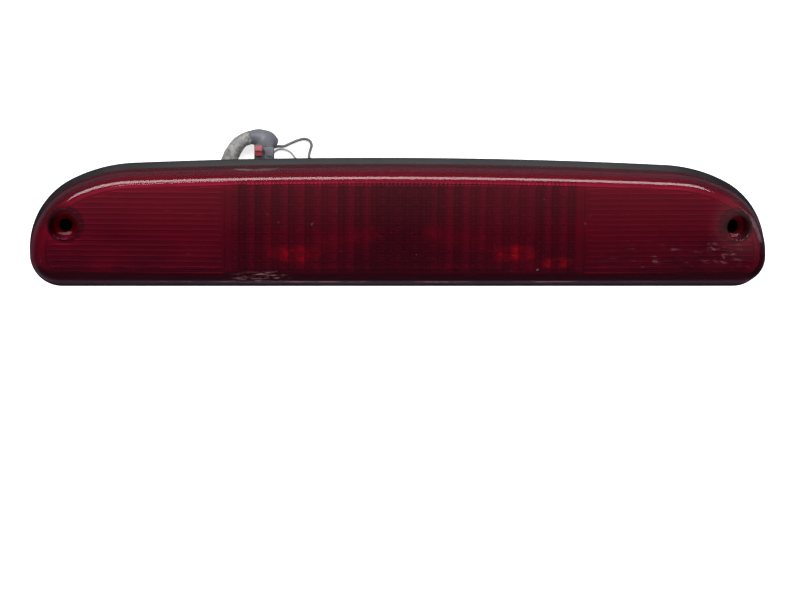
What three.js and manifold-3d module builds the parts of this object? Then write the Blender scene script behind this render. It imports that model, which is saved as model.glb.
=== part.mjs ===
// High-mount stop lamp of a pickup cab, lying on its back, in millimetres.
// +Z points out of the lens, +X along the lamp and +Y to its top edge. The origin is at the middle
// of the lamp on the plane of its two rear feet.
import * as THREE from 'three';
import { mergeVertices } from 'three/addons/utils/BufferGeometryUtils.js';
import Module from 'manifold-3d';

const wasm = await Module();
wasm.setup();

// ---- Driving dimensions ----

const GAP = 0.3; // clearance between pieces that touch

// Outline of the housing flange, as seen from the front
const LENGTH = 380;
const HEIGHT = 66.2;
const TOP_RADIUS = 3060;
const SHOULDER_RADIUS = 77;
const END_RADIUS = 40;
const CORNER_RADIUS = 16.3;
const SHOULDER_ANGLE = THREE.MathUtils.degToRad(26.8); // where the shoulder arc meets the end arc

// Levels along Z
const GASKET_BACK = 28;
const FLANGE_BACK = 32;
const FLANGE_FRONT = 34.4;
const LENS_RIM = 36;
const LENS_FRONT = 62;
const LENS_CROWN = 8; // how far the lens face falls back from its middle to the screw wells

// Lens
const LENS_INSET_TOP = 3.2; // from the flange's edge to the lens's edge
const LENS_INSET_BOTTOM = 1.2;
const LENS_INSET_END = 0.8;
const LENS_WALL = 2.6;

// Screw wells
const WELL_X = 171;
const WELL_Y = -1.3;
const WELL_DEPTH = 13;
const WELL_RADIUS = 5.9;
const WELL_TUBE_RADIUS = 8;
const WELL_FLOOR = 2.5;
const SCREW_HOLE_RADIUS = 3.3;

// Housing
const BOWL = { x: 66, y: 25, radius: 11 }; // half lengths at the flange
const BOWL_DRAFT = { x: 6, y: 5 }; // how much narrower each half is at the feet
const HOUSING_WALL = 2.2;
const RECESS_HALF_WIDTH = 22;
const PLATE_BACK = 14.7; // rear face of the plate that carries the bulb socket
const VENT_X = 112;
const VENT_RADIUS = 1.5;

// Reflector
const REFLECTOR_FLOOR = 19.5;
const REFLECTOR_RIM = 35.9;
const REFLECTOR_HALF = { x: 93, y: 24 };
const REFLECTOR_BOWL = { x: 60, y: 22 };
const REFLECTOR_SHEET = 1.2;

// Bulb socket and bulb, on the Z axis
const SOCKET_TAIL = 7.5;
const SOCKET_FLANGE = { back: 11.5, front: 13.3, radius: 14 };
const SOCKET_NECK_RADIUS = 9.7;
const SOCKET_NOSE = { front: 23.7, radius: 9 };
const SOCKET_CAVITY = { x: 4.1, y: 5.2, floor: 15.3 };
const LUG_REACH = 12.4;
const UNLOCK_ANGLE = Math.PI / 6;
const CONTACT_X = 3.55;
const BULB_BASE = { x: 2.1, y: 4.75, back: 16.5, front: 24.8 };
const BULB_RADIUS = 7.5;
const BULB_TIP = 51.5;
const LEAD_Y = 2.2;
const FILAMENT_Z = 37;

// Pigtail
const FEED_DIAMETER = 1.5;
const GROUND_DIAMETER = 1.1;
const TRUNK_DIAMETER = 7.2;
const CONNECTOR = { x: -70.8, halfWidth: 5.2, back: 11, front: 39.5, floor: 1.9, top: 11.4 };
const CAVITY_FLOOR = 24; // how far the mating cavity goes in, along Y
const BLADE_X = 1.9;
const LATCH = { x: -68.6, halfWidth: 1.9, front: 17, back: 36.5, pivotY: 27, pivotZ: 13.1 };

// ---- Solids ----

const solidOf = (geometry) => {
  geometry.deleteAttribute('normal');
  geometry.deleteAttribute('uv');
  const merged = mergeVertices(geometry, 1e-4);
  return new wasm.Manifold(new wasm.Mesh({
    numProp: 3,
    vertProperties: new Float32Array(merged.attributes.position.array),
    triVerts: new Uint32Array(merged.index.array),
  }));
};

const geometryOf = (solid) => {
  const mesh = solid.getMesh();
  const geometry = new THREE.BufferGeometry();
  geometry.setAttribute('position', new THREE.BufferAttribute(mesh.vertProperties, 3));
  geometry.setIndex(new THREE.BufferAttribute(mesh.triVerts, 1));
  geometry.computeVertexNormals();
  return geometry;
};

const box = (x0, x1, y0, y1, z0, z1) => {
  const geometry = new THREE.BoxGeometry(x1 - x0, y1 - y0, z1 - z0);
  geometry.translate((x0 + x1) / 2, (y0 + y1) / 2, (z0 + z1) / 2);
  return solidOf(geometry);
};

const post = (radius, x, y, z0, z1, sides = 20) => {
  const geometry = new THREE.CylinderGeometry(radius, radius, z1 - z0, sides);
  geometry.rotateX(Math.PI / 2);
  geometry.translate(x, y, (z0 + z1) / 2);
  return solidOf(geometry);
};

// Turns a profile of [radius, z] points about the Z axis
const lathe = (profile, sides = 24) => {
  const geometry = new THREE.LatheGeometry(profile.map(([r, z]) => new THREE.Vector2(r, z)), sides);
  geometry.rotateX(Math.PI / 2);
  return solidOf(geometry);
};

// Straight round rod between two points
const rod = (from, to, radius, sides = 6, endRadius = radius) => {
  const axis = new THREE.Vector3().subVectors(to, from);
  const geometry = new THREE.CylinderGeometry(endRadius, radius, axis.length(), sides);
  const turn = new THREE.Quaternion().setFromUnitVectors(
    new THREE.Vector3(0, 1, 0), axis.clone().normalize());
  geometry.applyQuaternion(turn);
  geometry.translate(...from.clone().add(to).multiplyScalar(0.5).toArray());
  return solidOf(geometry);
};

// Round tube along a smooth curve through the points
const tube = (points, diameter, sides, steps) => {
  const section = new THREE.Shape();
  for (let i = 0; i < sides; i += 1) {
    const angle = (2 * Math.PI * i) / sides;
    const corner = [Math.cos(angle) * diameter / 2, Math.sin(angle) * diameter / 2];
    if (i === 0) section.moveTo(...corner);
    else section.lineTo(...corner);
  }
  const corners = points.map((point) => new THREE.Vector3(...point));
  const extrudePath = new THREE.CatmullRomCurve3(corners, false, 'centripetal');
  return new THREE.ExtrudeGeometry(section, { steps, bevelEnabled: false, extrudePath });
};

// Closed body through rings with equal numbers of points. Each ring is two chains from left to
// right, upper and lower, so both ends close with straight strips across.
const loft = (rings) => {
  const size = rings[0].upper.length;
  const positions = rings.flatMap(({ upper, lower }) => [...upper, ...[...lower].reverse()]).flat();
  const count = 2 * size;
  const index = [];
  const quad = (a, b, c, d) => index.push(a, b, c, a, c, d);
  for (let r = 0; r + 1 < rings.length; r += 1) {
    for (let i = 0; i < count; i += 1) {
      const j = (i + 1) % count;
      quad(r * count + i, (r + 1) * count + i, (r + 1) * count + j, r * count + j);
    }
  }
  const last = (rings.length - 1) * count;
  for (let i = 0; i + 1 < size; i += 1) {
    const across = count - 1 - i;
    quad(i, i + 1, across - 1, across);
    quad(last + i, last + across, last + across - 1, last + i + 1);
  }
  const geometry = new THREE.BufferGeometry();
  geometry.setAttribute('position', new THREE.Float32BufferAttribute(positions, 3));
  geometry.setIndex(index);
  return solidOf(geometry);
};

const join = (...solids) => solids.reduce((a, b) => a.add(b));
const cut = (solid, ...tools) => tools.reduce((a, b) => a.subtract(b), solid);

// ---- Outlines ----

// An outline is flat below, with round corners, and has three tangent arcs on each side above
const FLANGE_OUTLINE = {
  half: LENGTH / 2,
  bottom: -HEIGHT / 2,
  top: HEIGHT / 2,
  topRadius: TOP_RADIUS,
  shoulderRadius: SHOULDER_RADIUS,
  endRadius: END_RADIUS,
  cornerRadius: CORNER_RADIUS,
};
const LENS_OUTLINE = {
  half: LENGTH / 2 - LENS_INSET_END,
  bottom: -HEIGHT / 2 + LENS_INSET_BOTTOM,
  top: HEIGHT / 2 - LENS_INSET_TOP,
  topRadius: TOP_RADIUS,
  shoulderRadius: SHOULDER_RADIUS - 2,
  endRadius: END_RADIUS - 1.5,
  cornerRadius: CORNER_RADIUS - 1.2,
};
const END_STEPS = 5;
const SHOULDER_STEPS = 2;
const TOP_STEPS = 10;

const arcPoints = (centre, radius, from, to, steps) => Array.from({ length: steps }, (_, i) => {
  const angle = from + ((to - from) * (i + 1)) / steps;
  return [centre[0] + radius * Math.sin(angle), centre[1] + radius * Math.cos(angle)];
});

// Right half of the upper chain, from the top middle to the end, angles measured from +Y
const upperHalf = (outline, inset) => {
  const { topRadius, shoulderRadius, endRadius } = outline;
  const toEnd = outline.half - endRadius - (shoulderRadius - endRadius) * Math.sin(SHOULDER_ANGLE);
  const topAngle = Math.asin(toEnd / (topRadius - shoulderRadius));
  const topCentre = [0, outline.top - topRadius];
  const shoulderCentre = [
    (topRadius - shoulderRadius) * Math.sin(topAngle),
    topCentre[1] + (topRadius - shoulderRadius) * Math.cos(topAngle),
  ];
  const endCentre = [
    shoulderCentre[0] + (shoulderRadius - endRadius) * Math.sin(SHOULDER_ANGLE),
    shoulderCentre[1] + (shoulderRadius - endRadius) * Math.cos(SHOULDER_ANGLE),
  ];
  return [
    [0, outline.top - inset],
    ...arcPoints(topCentre, topRadius - inset, 0, topAngle, TOP_STEPS / 2),
    ...arcPoints(shoulderCentre, shoulderRadius - inset, topAngle, SHOULDER_ANGLE, SHOULDER_STEPS),
    ...arcPoints(endCentre, endRadius - inset, SHOULDER_ANGLE, Math.PI / 2, END_STEPS),
  ];
};

// Height of the lower edge at x: the flat, or the round corner
const lowerEdge = (outline, inset, x) => {
  const { half, bottom, cornerRadius } = outline;
  const past = Math.abs(x) - (half - cornerRadius);
  const radius = cornerRadius - inset;
  const fall = past > 0 ? Math.sqrt(Math.max(radius * radius - past * past, 0)) : radius;
  return bottom + cornerRadius - fall;
};

// One ring of a loft: the outline drawn in by inset, at a height that may follow x
const ring = (outline, inset, height) => {
  const heightAt = typeof height === 'function' ? height : () => height;
  const half = upperHalf(outline, inset);
  const upper = [...half.slice(1).reverse().map(([x, y]) => [-x, y]), ...half];
  return {
    upper: upper.map(([x, y]) => [x, y, heightAt(x)]),
    lower: upper.map(([x]) => [x, lowerEdge(outline, inset, x), heightAt(x)]),
  };
};

const slab = (outline, inset, z0, z1) => loft([ring(outline, inset, z0), ring(outline, inset, z1)]);

// Ring of a loft with the shape of a rectangle with round corners
const CORNER_STEPS = 4;
const roundedRing = ({ x, y, radius }, z) => {
  const right = [
    [0, y],
    ...Array.from({ length: CORNER_STEPS + 1 }, (_, i) => {
      const angle = (Math.PI / 2) * (i / CORNER_STEPS);
      return [x - radius + radius * Math.sin(angle), y - radius + radius * Math.cos(angle)];
    }),
  ];
  const upper = [...right.slice(1).reverse().map(([px, py]) => [-px, py]), ...right];
  return {
    upper: upper.map(([px, py]) => [px, py, z]),
    lower: upper.map(([px, py]) => [px, -py, z]),
  };
};

// ---- Lens, bead, housing, gasket ----

const lensFace = (x) => LENS_FRONT - LENS_CROWN * (x / WELL_X) ** 2;
const wallLevel = (share, drop = 0) => (x) => LENS_RIM + (lensFace(x) - LENS_RIM) * share - drop;
const sides = [-1, 1];

const makeLens = () => {
  const outer = loft([
    ring(LENS_OUTLINE, 0, LENS_RIM),
    ring(LENS_OUTLINE, 1.4, wallLevel(0.45)),
    ring(LENS_OUTLINE, 3.0, wallLevel(0.8)),
    ring(LENS_OUTLINE, 4.4, wallLevel(0.93)),
    ring(LENS_OUTLINE, 6.4, wallLevel(0.985)),
    ring(LENS_OUTLINE, 9.2, wallLevel(1)),
  ]);
  const inner = loft([
    ring(LENS_OUTLINE, LENS_WALL, LENS_RIM - 1),
    ring(LENS_OUTLINE, LENS_WALL + 1.4, wallLevel(0.45)),
    ring(LENS_OUTLINE, LENS_WALL + 3.2, wallLevel(0.8, 1)),
    ring(LENS_OUTLINE, LENS_WALL + 6.8, wallLevel(1, LENS_WALL)),
  ]);
  let lens = cut(outer, inner);
  const floor = lensFace(WELL_X) - WELL_DEPTH;
  for (const side of sides) {
    const x = side * WELL_X;
    const tower = post(WELL_TUBE_RADIUS, x, WELL_Y, floor - WELL_FLOOR, lensFace(WELL_X) - 1.2);
    lens = cut(
      join(lens, tower),
      post(WELL_RADIUS, x, WELL_Y, floor, LENS_FRONT),
      post(SCREW_HOLE_RADIUS, x, WELL_Y, floor - 2 * WELL_FLOOR, floor + 1),
    );
  }
  return lens;
};

const makeBead = () => cut(
  slab(LENS_OUTLINE, 0.2, FLANGE_FRONT + GAP, LENS_RIM - GAP),
  slab(LENS_OUTLINE, LENS_WALL - 0.2, FLANGE_FRONT, LENS_RIM),
);

// The bowl's ring at a level between the feet and the flange, drawn in by inset
const bowlRing = (level, inset) => {
  const share = 1 - level / FLANGE_BACK;
  return roundedRing({
    x: BOWL.x - inset - BOWL_DRAFT.x * share,
    y: BOWL.y - inset - BOWL_DRAFT.y * share,
    radius: BOWL.radius - inset,
  }, level);
};

const makeHousing = () => {
  const bowl = loft([bowlRing(0, 1.5), bowlRing(1.5, 0), bowlRing(FLANGE_FRONT - 1, 0)]);
  const hollow = loft([
    bowlRing(HOUSING_WALL, HOUSING_WALL + 1),
    bowlRing(HOUSING_WALL + 1.5, HOUSING_WALL),
    bowlRing(FLANGE_FRONT + 1, HOUSING_WALL),
  ]);
  const plateFront = PLATE_BACK + HOUSING_WALL;
  const recessWall = RECESS_HALF_WIDTH + HOUSING_WALL;
  const chamber = cut(hollow, box(-recessWall, recessWall, -40, 40, -1, plateFront));
  const recess = box(-RECESS_HALF_WIDTH, RECESS_HALF_WIDTH, -40, 40, -1, PLATE_BACK);

  const lugSlot = box(-LUG_REACH - 0.6, LUG_REACH + 0.6, -4.1, 4.1, PLATE_BACK - 1, plateFront + 1)
    .rotate([0, 0, THREE.MathUtils.radToDeg(UNLOCK_ANGLE)]);
  const socketHole = post(SOCKET_NECK_RADIUS + 0.6, 0, 0, PLATE_BACK - 1, plateFront + 1, 32);

  const wellFloor = lensFace(WELL_X) - WELL_DEPTH - WELL_FLOOR;
  const bosses = sides.flatMap((side) => [
    post(7, side * WELL_X, WELL_Y, FLANGE_FRONT - 1, wellFloor - GAP),
    post(5.5, side * WELL_X, WELL_Y, GASKET_BACK + 0.8, FLANGE_BACK + 1),
  ]);
  const bores = sides.flatMap((side) => [
    post(SCREW_HOLE_RADIUS, side * WELL_X, WELL_Y, GASKET_BACK, wellFloor + 1),
    post(VENT_RADIUS, side * VENT_X, 0, FLANGE_BACK - 1, FLANGE_FRONT + 1, 12),
  ]);
  const flange = slab(FLANGE_OUTLINE, 0, FLANGE_BACK, FLANGE_FRONT);
  return cut(join(flange, bowl, ...bosses), chamber, recess, lugSlot, socketHole, ...bores);
};

const makeGasket = () => {
  const strip = 6.4;
  const endPad = 156;
  const sheet = slab(FLANGE_OUTLINE, 0.6, GASKET_BACK, FLANGE_BACK - GAP);
  const window = slab(FLANGE_OUTLINE, 0.6 + strip, GASKET_BACK - 1, FLANGE_BACK);
  const middle = box(-endPad, endPad, -HEIGHT, HEIGHT, GASKET_BACK - 2, FLANGE_BACK + 1);
  const skin = GASKET_BACK + 0.5; // closed foam skin that the mounting screws pierce
  const holes = sides.map((side) => post(6.2, side * WELL_X, WELL_Y, skin, FLANGE_BACK));
  return cut(sheet, window.intersect(middle), ...holes);
};

const makeVentFilter = (side) => post(5, side * VENT_X, 0, FLANGE_BACK - 1.9, FLANGE_BACK - GAP, 16);

// ---- Reflector ----

const reflectorLevel = (x, y) => {
  const along = Math.abs(x) / REFLECTOR_BOWL.x;
  const rise = REFLECTOR_RIM - REFLECTOR_FLOOR;
  const spine = along < 1
    ? REFLECTOR_FLOOR + rise * along ** 2
    : REFLECTOR_RIM + 0.2 * (Math.abs(x) - REFLECTOR_BOWL.x);
  const across = Math.min(Math.abs(y) / REFLECTOR_BOWL.y, 1);
  return spine + Math.max(REFLECTOR_RIM - spine, 2.5) * across ** 2;
};

const makeReflector = () => {
  const columns = 24;
  const bowlRows = 8;
  const rows = [-REFLECTOR_HALF.y, REFLECTOR_HALF.y];
  for (let i = 0; i <= bowlRows; i += 1) rows.splice(-1, 0, REFLECTOR_BOWL.y * ((2 * i) / bowlRows - 1));
  const columnX = (i) => REFLECTOR_HALF.x * ((2 * i) / columns - 1);
  const ribbon = (i) => {
    const x = columnX(i);
    const front = rows.map((y) => [x, y, reflectorLevel(x, y)]);
    const back = rows.map((y) => [x, y, reflectorLevel(x, y) - REFLECTOR_SHEET]);
    return { upper: front, lower: back };
  };
  const sheet = loft(Array.from({ length: columns + 1 }, (_, i) => ribbon(i)));
  const hole = post(LUG_REACH + 0.6, 0, 0, PLATE_BACK, REFLECTOR_RIM, 24);
  return cut(sheet, hole);
};

// ---- Bulb socket ----

const makeSocket = () => {
  const { back, front, radius } = SOCKET_FLANGE;
  const body = lathe([
    [0, SOCKET_TAIL], [9.5, SOCKET_TAIL], [9.5, back], [radius, back], [radius, front],
    [SOCKET_NECK_RADIUS, front], [SOCKET_NECK_RADIUS, PLATE_BACK + HOUSING_WALL],
    [SOCKET_NOSE.radius, PLATE_BACK + HOUSING_WALL + 0.6], [SOCKET_NOSE.radius, SOCKET_NOSE.front],
    [0, SOCKET_NOSE.front],
  ]);
  const grip = box(-13, 13, -2.6, 2.6, SOCKET_TAIL, back + 0.5);
  const lugBack = PLATE_BACK + HOUSING_WALL + GAP;
  const lugs = box(-LUG_REACH, LUG_REACH, -3.5, 3.5, lugBack, lugBack + 2);
  const { x, y, floor } = SOCKET_CAVITY;
  const cavity = box(-x, x, -y, y, floor, SOCKET_NOSE.front + 1);
  const channels = sides.flatMap((side) => [
    box(side * CONTACT_X - 0.55, side * CONTACT_X + 0.55, -1.5, 1.5, SOCKET_TAIL + 1, floor + 1),
    post(1.8, side * CONTACT_X, 0, SOCKET_TAIL - 1, SOCKET_TAIL + 2.8, 12),
  ]);
  return cut(join(body, grip, lugs), cavity, ...channels);
};

const makeSocketSeal = () => {
  const [z0, z1] = [SOCKET_FLANGE.front + GAP, PLATE_BACK - GAP];
  return lathe([[10.6, z0], [13.4, z0], [13.4, z1], [10.6, z1], [10.6, z0]]);
};

const makeContact = (side) => {
  const [x0, x1] = [side * CONTACT_X - 0.25, side * CONTACT_X + 0.25];
  const blade = box(x0, x1, -2.6, 2.6, SOCKET_CAVITY.floor + GAP, SOCKET_NOSE.front - 0.8);
  const tail = box(x0, x1, -1.2, 1.2, SOCKET_TAIL + 3.1, SOCKET_CAVITY.floor + 1);
  return join(blade, tail);
};

const makeWireSeal = (side) => post(1.5, side * CONTACT_X, 0, SOCKET_TAIL, SOCKET_TAIL + 2.8, 12);

// ---- Bulb ----

const makeBulbGlass = () => {
  const shoulder = 29.5;
  const dome = (radius, tip) => Array.from({ length: 5 }, (_, i) => {
    const angle = (Math.PI / 2) * (i / 4);
    return [radius * Math.cos(angle), tip - radius * (1 - Math.sin(angle))];
  });
  const wall = 0.8;
  const { x, y, back, front } = BULB_BASE;
  const outer = lathe([[0, front - 1], [3.8, front - 1], [4.6, front], ...[[BULB_RADIUS, shoulder]],
    ...dome(BULB_RADIUS, BULB_TIP)], 18);
  const inner = lathe([[0, front + 0.4], [3.6, front + 0.4], [BULB_RADIUS - wall, shoulder + 0.2],
    ...dome(BULB_RADIUS - wall, BULB_TIP - wall)], 18);
  const base = box(-x, x, -y, y, back, front);
  const leadHoles = sides.map((side) => post(0.6, 0, side * LEAD_Y, back - 1, front + 1.5, 8));
  return cut(join(outer, base), inner, ...leadHoles);
};

const makeFilament = () => {
  const reach = LEAD_Y - GAP - 0.3;
  return rod(new THREE.Vector3(0, -reach, FILAMENT_Z), new THREE.Vector3(0, reach, FILAMENT_Z), 0.4, 8);
};

// Support wire from the filament down through the base, then folded up against the base's side
const makeLead = (side) => {
  const y = side * LEAD_Y;
  const foldX = side * (BULB_BASE.x + 0.6);
  const below = BULB_BASE.back - 0.6;
  const post3 = (x, z) => new THREE.Vector3(x, y, z);
  return join(
    rod(post3(0, below - 0.25), post3(0, FILAMENT_Z + 0.8), 0.3),
    rod(post3(0, below), post3(foldX, below), 0.3),
    rod(post3(foldX, below - 0.25), post3(foldX, BULB_BASE.back + 5), 0.3),
  );
};

// ---- Pigtail ----

const SUPPORT = 0.2; // how far the lowest side of a cord stays above the rest plane
const feedZ = FEED_DIAMETER / 2 + SUPPORT;
const groundZ = GROUND_DIAMETER / 2 + SUPPORT;
const trunkZ = TRUNK_DIAMETER / 2 + SUPPORT;

// Both wires leave the socket backwards, run out past the lamp's top edge, return under the
// connector and go along the back of the lamp into the start of the taped trunk.
const FEED_ROUTE = [
  [CONTACT_X, 0, SOCKET_TAIL - GAP], [CONTACT_X, 0.3, 5.2], [3.4, 2.2, 2.2], [3, 6, feedZ],
  [1, 14, feedZ], [-4, 22, feedZ], [-13, 27.6, feedZ], [-26, 29, feedZ], [-38, 28.2, feedZ],
  [-44.6, 29.2, feedZ], [-47.2, 32.6, feedZ], [-46.6, 36, feedZ], [-45.9, 38.8, feedZ],
  [-46.8, 41, feedZ], [-49.4, 42.1, feedZ], [-52.6, 41.5, feedZ], [-56.6, 39.9, feedZ],
  [-60.4, 38.2, feedZ], [-64, 38, feedZ], [-67.4, 36.8, feedZ], [-69.5, 33.4, feedZ],
  [-70, 26, feedZ], [-70.2, 15, feedZ],
  [-72.6, 6.4, feedZ], [-80, 2, feedZ], [-93, 0.6, feedZ], [-108, -0.6, feedZ],
  [-122, -3, feedZ], [-132.6, -3, feedZ], [-137, 0.6, 1.4], [-134.6, 4.4, 2.6],
  [-130.4, 5.2, trunkZ],
];
const GROUND_ROUTE = [
  [-CONTACT_X, 0, SOCKET_TAIL - GAP], [-CONTACT_X, 0.3, 5.2], [-3.8, 2.2, 2.2], [-4.6, 6, groundZ],
  [-7.4, 14, groundZ], [-13, 21, groundZ], [-22, 25.2, groundZ], [-34, 25.4, groundZ],
  [-45, 25.6, groundZ], [-51, 28.4, groundZ], [-54.4, 32, groundZ], [-57.2, 35.2, groundZ],
  [-60.4, 36.6, groundZ], [-63.8, 36.2, groundZ], [-66.4, 34, groundZ], [-67.4, 31, groundZ],
  [-67.6, 25, groundZ],
  [-67.8, 13, groundZ], [-70.4, 3.4, groundZ], [-78, -1.2, groundZ], [-92, -2.6, groundZ],
  [-108, -3.8, groundZ], [-122, -6.4, groundZ], [-134.4, -6.6, groundZ], [-141, -1.6, 1.2],
  [-139.4, 5, 2.4], [-134.4, 7.8, 3.2], [-130.6, 7.4, trunkZ + 0.6],
];
const TRUNK_ROUTE = [
  [-130, 6.2, trunkZ], [-121, 7, trunkZ], [-110, 9.6, trunkZ], [-101, 14.4, trunkZ],
  [-95, 20.4, trunkZ], [-91, 27, trunkZ], [-87.2, 35, trunkZ + 0.6], [-85.1, 38.3, trunkZ + 1.2],
  [-82.2, 41, trunkZ + 1.8], [-77.5, 43.1, trunkZ + 2.6],
];

// Moulded elbow that turns the trunk down into the connector
const makeBoot = () => {
  const { x, halfWidth, front, floor, top } = CONNECTOR;
  const radius = 4.9;
  const elbow = new THREE.Vector3(x + 0.2, front + 2.8, floor + radius + 0.1);
  const ball = new THREE.SphereGeometry(radius, 14, 10);
  ball.translate(...elbow.toArray());
  const neckEnd = new THREE.Vector3(x + 0.2, front + GAP, elbow.z);
  const spout = new THREE.Vector3(x + 6.7, front + 0.7, floor + 2.6);
  const [nearly, end] = TRUNK_ROUTE.slice(-2).map((point) => new THREE.Vector3(...point));
  const heading = end.clone().sub(nearly).setY(0.8 * (end.y - nearly.y)).normalize();
  const sleeveStart = end.clone().addScaledVector(heading, GAP + 0.1);
  const sleeveEnd = sleeveStart.clone().addScaledVector(heading, 4);
  const boot = join(
    solidOf(ball),
    rod(neckEnd, elbow, radius, 14),
    rod(elbow, spout, 4.2, 14, 2),
    rod(sleeveStart, sleeveEnd, TRUNK_DIAMETER / 2 + 0.2, 14, TRUNK_DIAMETER / 2 - 0.2),
  );
  return cut(boot, box(x - halfWidth - 1, x + halfWidth + 1, front - 9, front + GAP, 0, top + 2));
};

const makeConnectorBody = () => {
  const { x, halfWidth, back, front, floor, top } = CONNECTOR;
  const corner = 1.6;
  const [left, right] = [x - halfWidth, x + halfWidth];
  const outline = new THREE.Shape();
  outline.absarc(right - corner, floor + corner, corner, -Math.PI / 2, 0);
  outline.absarc(right - corner, top - corner, corner, 0, Math.PI / 2);
  outline.absarc(left + corner, top - corner, corner, Math.PI / 2, Math.PI);
  outline.absarc(left + corner, floor + corner, corner, Math.PI, 1.5 * Math.PI);
  const geometry = new THREE.ExtrudeGeometry(outline, {
    depth: front - back, bevelEnabled: false, curveSegments: 3,
  });
  geometry.rotateX(Math.PI / 2);
  geometry.translate(0, front, 0);
  const middle = (floor + top) / 2;
  const mouth = box(x - 3.9, x + 3.9, back - 1, CAVITY_FLOOR, floor + 1.4, top - 1.4);
  const slots = sides.map((side) => {
    const bladeX = x + side * BLADE_X;
    return box(bladeX - 0.8, bladeX + 0.8, CAVITY_FLOOR - 1, CAVITY_FLOOR + 4, middle - 1.4, middle + 1.4);
  });
  const ears = sides.map((side) => {
    const earX = LATCH.x + side * (LATCH.halfWidth + GAP + 0.35);
    return box(earX - 0.35, earX + 0.35, LATCH.pivotY - 1.4, LATCH.pivotY + 1.4, top - 1, LATCH.pivotZ + 1);
  });
  return cut(join(solidOf(geometry), ...ears), mouth, ...slots);
};

const makeTerminal = (side) => {
  const bladeX = CONNECTOR.x + side * BLADE_X;
  const middle = (CONNECTOR.floor + CONNECTOR.top) / 2;
  return box(bladeX - 0.4, bladeX + 0.4, CONNECTOR.back + 6, CAVITY_FLOOR + 3.7, middle - 1, middle + 1);
};

const makeConnectorSeal = () => {
  const { x, floor, top } = CONNECTOR;
  const [y0, y1] = [CAVITY_FLOOR - 2.2, CAVITY_FLOOR - GAP];
  const pad = box(x - 3.6, x + 3.6, y0, y1, floor + 1.7, top - 1.7);
  return cut(pad, box(x - 2.9, x + 2.9, y0 - 1, y1 + 1, floor + 2.5, top - 2.5));
};

// Rocking lever: pressing its rear pad, slanted on one side, lifts the hook at its front
const makeLatch = () => {
  const { x, halfWidth, pivotY, pivotZ, front, back } = LATCH;
  const arm = box(x - halfWidth, x + halfWidth, front, back, pivotZ - 0.5, pivotZ + 0.6);
  const corners = [[-0.6, -3.5], [-2.8, 1.4], [2.6, 1.4], [2.6, -3.5]];
  const outline = new THREE.Shape(
    corners.map(([px, py]) => new THREE.Vector2(x + px, back + py)));
  const plate = new THREE.ExtrudeGeometry(outline, { depth: 1.2, bevelEnabled: false });
  plate.translate(0, 0, pivotZ);
  const pad = solidOf(plate);
  const hook = box(x - halfWidth, x + halfWidth, front, front + 1.6, pivotZ - 1.4, pivotZ);
  const [hubLeft, hubRight] = sides.map((side) => (
    new THREE.Vector3(x + side * halfWidth, pivotY, pivotZ)));
  const hub = rod(hubLeft, hubRight, 0.9, 10);
  return join(arm, pad, hook, hub);
};

const makeLock = () => {
  const { x, top } = CONNECTOR;
  const slider = box(x - 5, x - 1, 33.2, 38.6, top + GAP, top + 1.6);
  const ridge = box(x - 5, x - 1, 35.6, 36.8, top + 1, top + 2.4);
  return join(slider, ridge);
};

// ---- Assembly ----

const finish = (color, roughness, metalness = 0) => (
  new THREE.MeshStandardMaterial({ color, roughness, metalness }));
const BLACK_PLASTIC = [0x1b1a1d, 0.55];
const FOAM = [0x3a393c, 0.95];
const BRASS = [0xb08a45, 0.35, 1];
const GREY_PLASTIC = [0x7d7f8c, 0.5];

const lamp = new THREE.Group();
const add = (name, shape, look) => {
  const geometry = shape instanceof THREE.BufferGeometry ? shape : geometryOf(shape);
  const mesh = new THREE.Mesh(geometry, finish(...look));
  mesh.name = name;
  lamp.add(mesh);
};
const addPair = (name, make, look) => {
  add(`${name}_left`, make(-1), look);
  add(`${name}_right`, make(1), look);
};

add('lens', makeLens(), [0x7a0f1c, 0.12]);
add('lens_seal_bead', makeBead(), [0x151416, 0.7]);
add('housing', makeHousing(), BLACK_PLASTIC);
add('reflector', makeReflector(), [0xc9c9cc, 0.15, 1]);
add('mounting_gasket', makeGasket(), FOAM);
addPair('vent_filter', makeVentFilter, FOAM);

add('bulb_socket', makeSocket(), [0x2b2b2e, 0.6]);
add('socket_seal', makeSocketSeal(), [0x5a2a1e, 0.8]);
addPair('socket_contact', makeContact, BRASS);
addPair('wire_seal', makeWireSeal, [0x5a2a1e, 0.8]);

add('bulb_glass', makeBulbGlass(), [0xe8eaec, 0.05]);
add('bulb_filament', makeFilament(), [0x8a8a8a, 0.4, 1]);
addPair('bulb_lead', makeLead, [0x9a8f80, 0.35, 1]);

add('wire_feed', tube(FEED_ROUTE, FEED_DIAMETER, 8, 64), [0x3b3b42, 0.5]);
add('wire_ground', tube(GROUND_ROUTE, GROUND_DIAMETER, 8, 64), [0x9c9a98, 0.5]);
add('harness_trunk', tube(TRUNK_ROUTE, TRUNK_DIAMETER, 10, 12), [0x8f8c86, 0.8]);
add('connector_boot', makeBoot(), GREY_PLASTIC);
add('connector_body', makeConnectorBody(), GREY_PLASTIC);
addPair('connector_terminal', makeTerminal, BRASS);
add('connector_seal', makeConnectorSeal(), [0x2f5f8a, 0.7]);
add('connector_latch', makeLatch(), GREY_PLASTIC);
add('connector_lock', makeLock(), [0xa31420, 0.45]);

export default lamp;
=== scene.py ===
"""Looks of a pickup's high-mount stop lamp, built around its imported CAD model.

The lamp lies on its back: +X along it, +Y to its top edge, +Z out of the lens. Sizes are written in
millimetres, as in the CAD source, and MM turns them into metres.
"""

import math

import bmesh
import bpy
import numpy as np
from mathutils import Matrix, Vector, noise
from mathutils.geometry import delaunay_2d_cdt


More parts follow.
